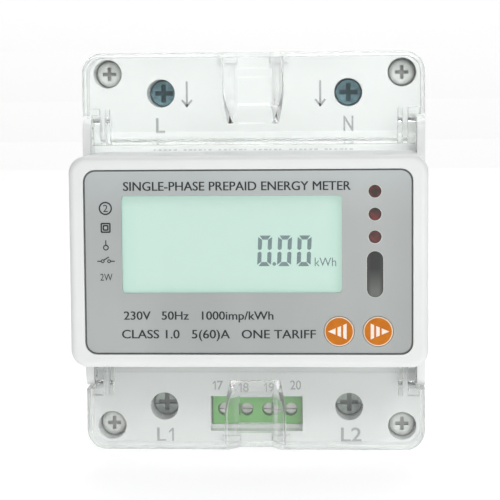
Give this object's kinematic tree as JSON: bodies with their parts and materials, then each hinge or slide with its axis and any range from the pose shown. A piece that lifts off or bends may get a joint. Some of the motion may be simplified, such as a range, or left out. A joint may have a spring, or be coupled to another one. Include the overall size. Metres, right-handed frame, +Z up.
{
  "type": "prepaid electricity meter",
  "caption": "Single-phase rail-mounted prepaid energy meter: white case, raised nose with grey panel, display, lamps and buttons, and hinged clear terminal covers.",
  "frame": {"origin": "centre of the face that sits on the mounting rail", "axes": "+Z up, -Y out of the front panel, +Y into the wall, +X to the right as seen from the front"},
  "size_m": [0.076, 0.074, 0.089],
  "materials": {
    "white_casing": "satin white flame-retardant polycarbonate",
    "clear_cover": "clear polished polycarbonate",
    "latch_plastic": "satin",
    "spring_steel": "bright drawn wire",
    "case_screw_steel": "zinc-plated",
    "grey_panel": "satin printed film",
    "clear_window": "clear, polished",
    "display_glass": "pale green display cell",
    "light_guide": "diffusing",
    "display_frame": "satin",
    "orange_button": "satin moulded",
    "black_plastic": "matt moulded",
    "red_lens": "dark translucent red",
    "led_epoxy": "clear tinted epoxy",
    "infrared_lens": "dark translucent",
    "circuit_board": "solder mask",
    "chip_epoxy": "moulded epoxy",
    "lamination_steel": "stacked laminations",
    "winding_tape": "polyester tape over copper wire",
    "capacitor_sleeve": "printed heat-shrink sleeve",
    "film_capacitor_box": "moulded box",
    "varistor_coat": "epoxy dip",
    "battery_sleeve": "plastic sleeve",
    "toroid_epoxy": "potted",
    "relay_plastic": "moulded",
    "relay_winding": "enamelled copper wire",
    "armature_steel": "plated",
    "tinned_copper": "rolled",
    "terminal_steel": "blue zinc-plated",
    "cage_steel": "zinc-plated",
    "green_block": "moulded polyamide",
    "aux_screw_steel": "nickel-plated",
    "cage_brass": "plated brass"
  },
  "bodies": {
    "meter": {"rear_base": "white_casing", "front_housing": "white_casing", "latch_spring": "spring_steel", "case_screws": "case_screw_steel", "face_panel": "grey_panel", "display_window": "clear_window", "lcd_glass": "display_glass", "lcd_backlight": "light_guide", "lcd_frame": "display_frame", "switch_bodies": "black_plastic", "led_lenses": "red_lens", "status_leds": "led_epoxy", "ir_window": "infrared_lens", "ir_diodes": "infrared_lens", "display_board": "circuit_board", "power_board": "circuit_board", "integrated_circuits": "chip_epoxy", "board_connector": "black_plastic", "transformer_core": "lamination_steel", "transformer_winding": "winding_tape", "electrolytic_capacitors": "capacitor_sleeve", "film_capacitor": "film_capacitor_box", "surge_varistor": "varistor_coat", "backup_battery": "battery_sleeve", "current_transformers": "toroid_epoxy", "relay_1_case": "relay_plastic", "relay_2_case": "relay_plastic", "relay_coils": "relay_winding", "live_busbar": "tinned_copper", "neutral_busbar": "tinned_copper", "output_busbar_1": "tinned_copper", "output_busbar_2": "tinned_copper", "aux_terminal_block": "green_block", "aux_pins": "cage_brass"},
    "top_cover": {"top_terminal_cover": "clear_cover"},
    "bottom_cover": {"bottom_terminal_cover": "clear_cover"},
    "latch": {"din_latch": "latch_plastic"},
    "left_button": {"left_button": "orange_button", "left_switch_plunger": "black_plastic"},
    "right_button": {"right_button": "orange_button", "right_switch_plunger": "black_plastic"},
    "live_in_screw": {"live_in_terminal_screw": "terminal_steel"},
    "live_in_cage": {"live_in_clamp_cage": "cage_steel"},
    "neutral_in_screw": {"neutral_in_terminal_screw": "terminal_steel"},
    "neutral_in_cage": {"neutral_in_clamp_cage": "cage_steel"},
    "output_1_screw": {"output_1_terminal_screw": "terminal_steel"},
    "output_1_cage": {"output_1_clamp_cage": "cage_steel"},
    "output_2_screw": {"output_2_terminal_screw": "terminal_steel"},
    "output_2_cage": {"output_2_clamp_cage": "cage_steel"},
    "aux_screw_1": {"aux_screw_1": "aux_screw_steel"},
    "aux_cage_1": {"aux_cage_1": "cage_brass"},
    "aux_screw_2": {"aux_screw_2": "aux_screw_steel"},
    "aux_cage_2": {"aux_cage_2": "cage_brass"},
    "aux_screw_3": {"aux_screw_3": "aux_screw_steel"},
    "aux_cage_3": {"aux_cage_3": "cage_brass"},
    "aux_screw_4": {"aux_screw_4": "aux_screw_steel"},
    "aux_cage_4": {"aux_cage_4": "cage_brass"},
    "relay_1_armature": {"relay_1_armature": "armature_steel"},
    "relay_2_armature": {"relay_2_armature": "armature_steel"}
  },
  "joints": [
    {"name": "top_cover_hinge", "type": "hinge", "parent": "meter", "child": "top_cover", "pos_m": [0, -0.0429, 0.027], "axis": [1, 0, 0], "range_deg": [0, 90]},
    {"name": "bottom_cover_hinge", "type": "hinge", "parent": "meter", "child": "bottom_cover", "pos_m": [0, -0.0429, -0.027], "axis": [-1, 0, 0], "range_deg": [0, 90]},
    {"name": "latch_slide", "type": "slide", "parent": "meter", "child": "latch", "axis": [0, 0, -1], "range_m": [0, 0.004], "stiffness_N_per_m": 500, "springref_m": -0.003, "deforming": ["latch_spring"]},
    {"name": "left_button_press", "type": "slide", "parent": "meter", "child": "left_button", "axis": [0, 1, 0], "range_m": [0, 0.0004], "stiffness_N_per_m": 1000, "springref_m": -0.0003},
    {"name": "right_button_press", "type": "slide", "parent": "meter", "child": "right_button", "axis": [0, 1, 0], "range_m": [0, 0.0004], "stiffness_N_per_m": 1000, "springref_m": -0.0003},
    {"name": "live_in_screw_turn", "type": "hinge", "parent": "meter", "child": "live_in_screw", "pos_m": [-0.021, -0.032, 0.0355], "axis": [0, 1, 0], "range_deg": [0, 2025]},
    {"name": "live_in_cage_rise", "type": "slide", "parent": "meter", "child": "live_in_cage", "axis": [0, -1, 0], "range_m": [0, 0.0045]},
    {"name": "neutral_in_screw_turn", "type": "hinge", "parent": "meter", "child": "neutral_in_screw", "pos_m": [0.021, -0.032, 0.0355], "axis": [0, 1, 0], "range_deg": [0, 2025]},
    {"name": "neutral_in_cage_rise", "type": "slide", "parent": "meter", "child": "neutral_in_cage", "axis": [0, -1, 0], "range_m": [0, 0.0045]},
    {"name": "output_1_screw_turn", "type": "hinge", "parent": "meter", "child": "output_1_screw", "pos_m": [-0.021, -0.032, -0.0355], "axis": [0, 1, 0], "range_deg": [0, 2025]},
    {"name": "output_1_cage_rise", "type": "slide", "parent": "meter", "child": "output_1_cage", "axis": [0, -1, 0], "range_m": [0, 0.0045]},
    {"name": "output_2_screw_turn", "type": "hinge", "parent": "meter", "child": "output_2_screw", "pos_m": [0.021, -0.032, -0.0355], "axis": [0, 1, 0], "range_deg": [0, 2025]},
    {"name": "output_2_cage_rise", "type": "slide", "parent": "meter", "child": "output_2_cage", "axis": [0, -1, 0], "range_m": [0, 0.0045]},
    {"name": "aux_screw_1_turn", "type": "hinge", "parent": "meter", "child": "aux_screw_1", "pos_m": [-0.00762, -0.033, -0.0368], "axis": [0, 1, 0], "range_deg": [0, 900]},
    {"name": "aux_cage_1_rise", "type": "slide", "parent": "meter", "child": "aux_cage_1", "axis": [0, -1, 0], "range_m": [0, 0.001]},
    {"name": "aux_screw_2_turn", "type": "hinge", "parent": "meter", "child": "aux_screw_2", "pos_m": [-0.00254, -0.033, -0.0368], "axis": [0, 1, 0], "range_deg": [0, 900]},
    {"name": "aux_cage_2_rise", "type": "slide", "parent": "meter", "child": "aux_cage_2", "axis": [0, -1, 0], "range_m": [0, 0.001]},
    {"name": "aux_screw_3_turn", "type": "hinge", "parent": "meter", "child": "aux_screw_3", "pos_m": [0.00254, -0.033, -0.0368], "axis": [0, 1, 0], "range_deg": [0, 900]},
    {"name": "aux_cage_3_rise", "type": "slide", "parent": "meter", "child": "aux_cage_3", "axis": [0, -1, 0], "range_m": [0, 0.001]},
    {"name": "aux_screw_4_turn", "type": "hinge", "parent": "meter", "child": "aux_screw_4", "pos_m": [0.00762, -0.033, -0.0368], "axis": [0, 1, 0], "range_deg": [0, 900]},
    {"name": "aux_cage_4_rise", "type": "slide", "parent": "meter", "child": "aux_cage_4", "axis": [0, -1, 0], "range_m": [0, 0.001]},
    {"name": "relay_1_switch", "type": "hinge", "parent": "meter", "child": "relay_1_armature", "pos_m": [-0.011, -0.0095, 0], "axis": [0, -1, 0], "range_deg": [0, 8]},
    {"name": "relay_2_switch", "type": "hinge", "parent": "meter", "child": "relay_2_armature", "pos_m": [0.011, -0.0095, 0], "axis": [0, 1, 0], "range_deg": [0, 8]}
  ],
  "couplings": [
    {"joint": "live_in_screw_turn", "follows": "live_in_cage_rise", "rad_per_m": 7854},
    {"joint": "neutral_in_screw_turn", "follows": "neutral_in_cage_rise", "rad_per_m": 7854},
    {"joint": "output_1_screw_turn", "follows": "output_1_cage_rise", "rad_per_m": 7854},
    {"joint": "output_2_screw_turn", "follows": "output_2_cage_rise", "rad_per_m": 7854},
    {"joint": "aux_screw_1_turn", "follows": "aux_cage_1_rise", "rad_per_m": 15708},
    {"joint": "aux_screw_2_turn", "follows": "aux_cage_2_rise", "rad_per_m": 15708},
    {"joint": "aux_screw_3_turn", "follows": "aux_cage_3_rise", "rad_per_m": 15708},
    {"joint": "aux_screw_4_turn", "follows": "aux_cage_4_rise", "rad_per_m": 15708}
  ]
}
